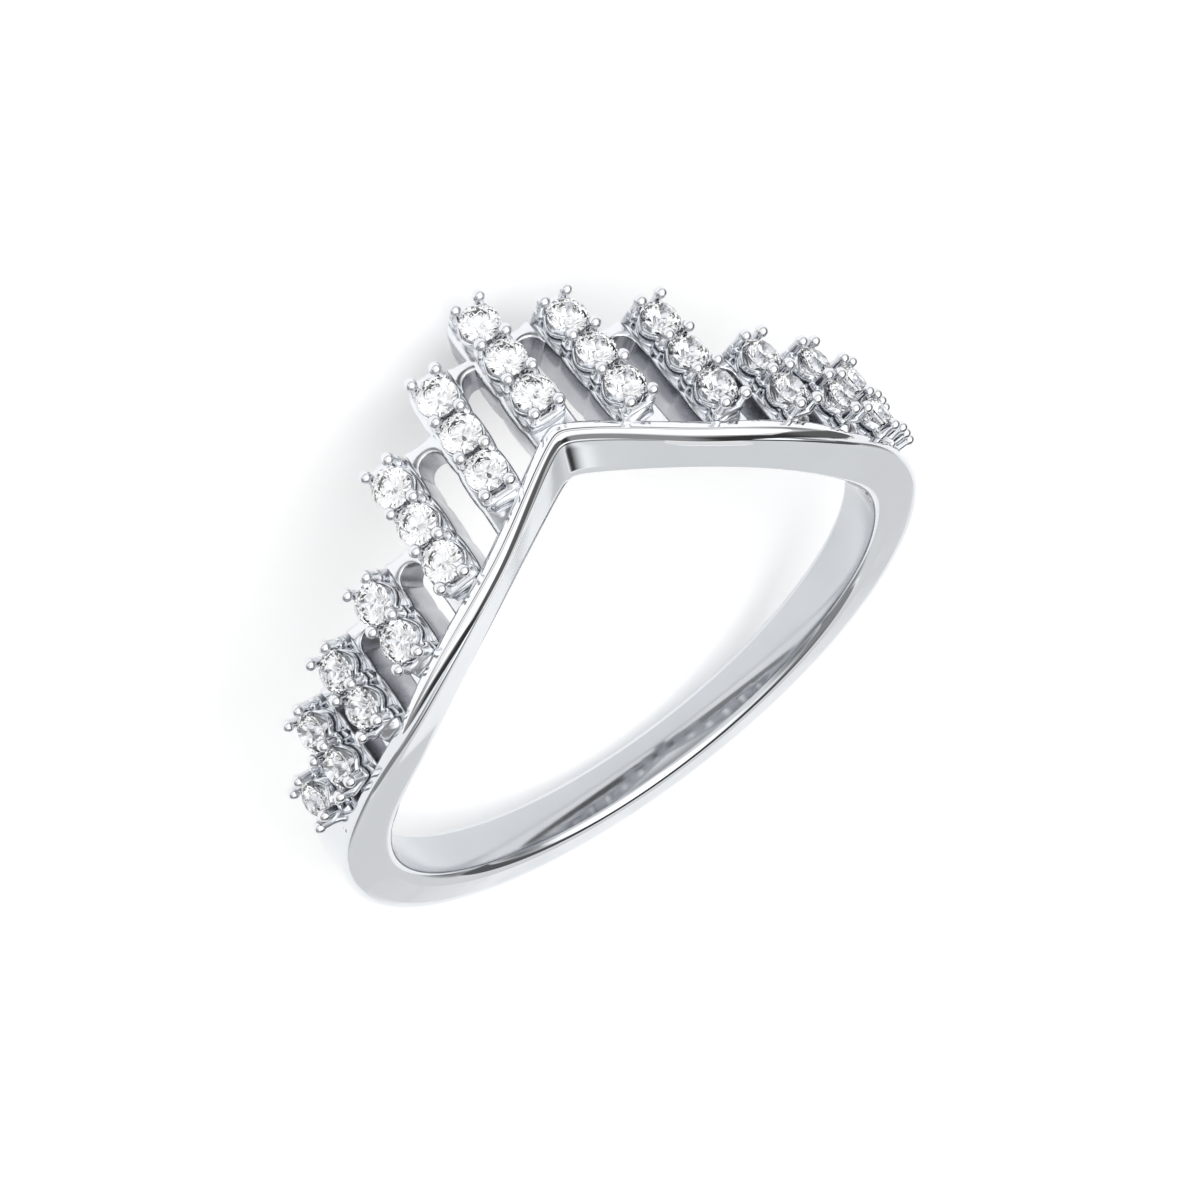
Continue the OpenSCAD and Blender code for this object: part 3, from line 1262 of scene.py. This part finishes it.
@dataclass
class Studio:
    """Pale floor, soft surroundings, one soft light and the camera."""

    floor_half: float = 0.6
    floor_glow: float = 0.28
    camera_place: Point = (-15.539, -67.15, -23.171)
    camera_turn: tuple[float, float, float, float] = (0.511827, 0.803848, 0.174965, -0.247484)
    lens: float = 75.11
    key_place: Point = (-0.08, -0.1, 0.3)
    key_target: Point = (0.0, 0.0, 0.004)
    key_size: float = 0.45
    key_energy: float = 0.36
    over: Stops = ((0.0, 0.78), (0.05, 0.83), (0.135, 0.86), (0.15, 1.2), (0.175, 0.03), (0.3, 0.02), (0.355, 0.04),
                   (0.39, 0.5), (0.42, 1.1), (0.56, 1.15), (0.585, 0.3), (0.61, 1.15), (0.68, 0.75), (0.76, 1.1),
                   (0.88, 1.1), (0.905, 0.45), (0.93, 1.1), (0.955, 1.0), (0.97, 0.15), (1.0, 0.1))
    flank: Stops = ((0.0, 1.0), (0.55, 1.0), (0.72, 0.5), (0.86, 0.28), (0.94, 0.5), (1.0, 0.8))
    front_pull: float = 0.45
    least: Stops = ((0.0, 0.12), (0.28, 0.12), (0.34, 0.04), (0.55, 0.04), (0.64, 0.3), (1.0, 0.3))

    def floor(self) -> None:
        """Builds the pale floor."""
        h = self.floor_half
        mesh = bpy.data.meshes.new("pale_floor")
        mesh.from_pydata([(-h, -h, 0.0), (h, -h, 0.0), (h, h, 0.0), (-h, h, 0.0)], [], [(0, 1, 2, 3)])
        floor = linked("pale_floor", mesh)
        material = node_material("pale_floor")
        shader = material.node_tree.nodes["Principled BSDF"]
        shader.inputs["Roughness"].default_value = 0.9
        shader.inputs["Specular IOR Level"].default_value = 0.1
        shader.inputs["Emission Color"].default_value = (1.0, 1.0, 1.0, 1.0)
        shader.inputs["Emission Strength"].default_value = self.floor_glow
        tint = cloud_colour(material.node_tree, 30.0, (0.96, 0.96, 0.96), (0.98, 0.98, 0.98))
        material.node_tree.links.new(tint, shader.inputs["Base Color"])
        floor.data.materials.append(material)

    def camera(self) -> None:
        """Sets the camera at the photograph's angle to the ring."""
        data = bpy.data.cameras.new("photo_camera")
        data.lens = self.lens
        data.sensor_width = 36.0
        data.clip_start = 0.001
        data.dof.use_dof = False
        camera = linked("photo_camera", data)
        turn = LYING.to_3x3()
        turn = turn * (1 / turn.col[0].length)
        place = LYING @ Vector(self.camera_place)
        camera.matrix_world = Matrix.Translation(place) @ (turn @ Quaternion(self.camera_turn).to_matrix()).to_4x4()
        bpy.context.scene.camera = camera

    def key_light(self) -> None:
        """Adds the soft square light that faces the ring."""
        data = bpy.data.lights.new("key_light", "AREA")
        data.size = self.key_size
        data.energy = self.key_energy
        lamp = linked("key_light", data)
        lamp.location = self.key_place
        facing = Vector(self.key_target) - Vector(self.key_place)
        lamp.rotation_euler = facing.to_track_quat("-Z", "Y").to_euler()

    def world(self) -> None:
        """Builds the soft white surroundings with a few darker panels for the metal to mirror."""
        world = bpy.data.worlds.new("studio")
        world.use_nodes = True
        bpy.context.scene.world = world
        bpy.context.scene.view_settings.view_transform = "Standard"
        tree = world.node_tree
        coords = tree.nodes.new("ShaderNodeTexCoord")
        split = tree.nodes.new("ShaderNodeSeparateXYZ")
        tree.links.new(coords.outputs["Generated"], split.inputs["Vector"])
        x, y, z = split.outputs
        turn = worked_out(tree, "DIVIDE", worked_out(tree, "ARCTAN2", z, y), pi)
        wide = worked_out(tree, "ABSOLUTE", x)
        side = worked_out(tree, "MULTIPLY_ADD", worked_out(tree, "MINIMUM", y, 0.0), self.front_pull, wide)
        across = worked_out(tree, "MULTIPLY_ADD", x, 0.5, 0.5)
        mixed = blended(tree, "MULTIPLY", grey_ramp(tree, turn, self.over), grey_ramp(tree, side, self.flank))
        lifted = blended(tree, "LIGHTEN", mixed, grey_ramp(tree, across, self.least))
        background = tree.nodes["Background"]
        tree.links.new(lifted, background.inputs["Color"])
        background.inputs["Strength"].default_value = 1.0

    def build(self) -> None:
        """Sets up the whole studio."""
        self.floor()
        self.world()
        self.camera()
        self.key_light()


def main() -> None:
    """Builds the studio and every piece of the ring."""
    logging.basicConfig(level=logging.INFO, format="%(message)s")
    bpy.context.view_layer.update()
    Studio().build()
    Band(SIZES).build()
    Rail(SIZES).build()
    Crown(SIZES).build()
    Setting(SIZES).build()
    Gallery(SIZES).build()
    Stones(SIZES).dress()


if __name__ == "__main__":
    main()
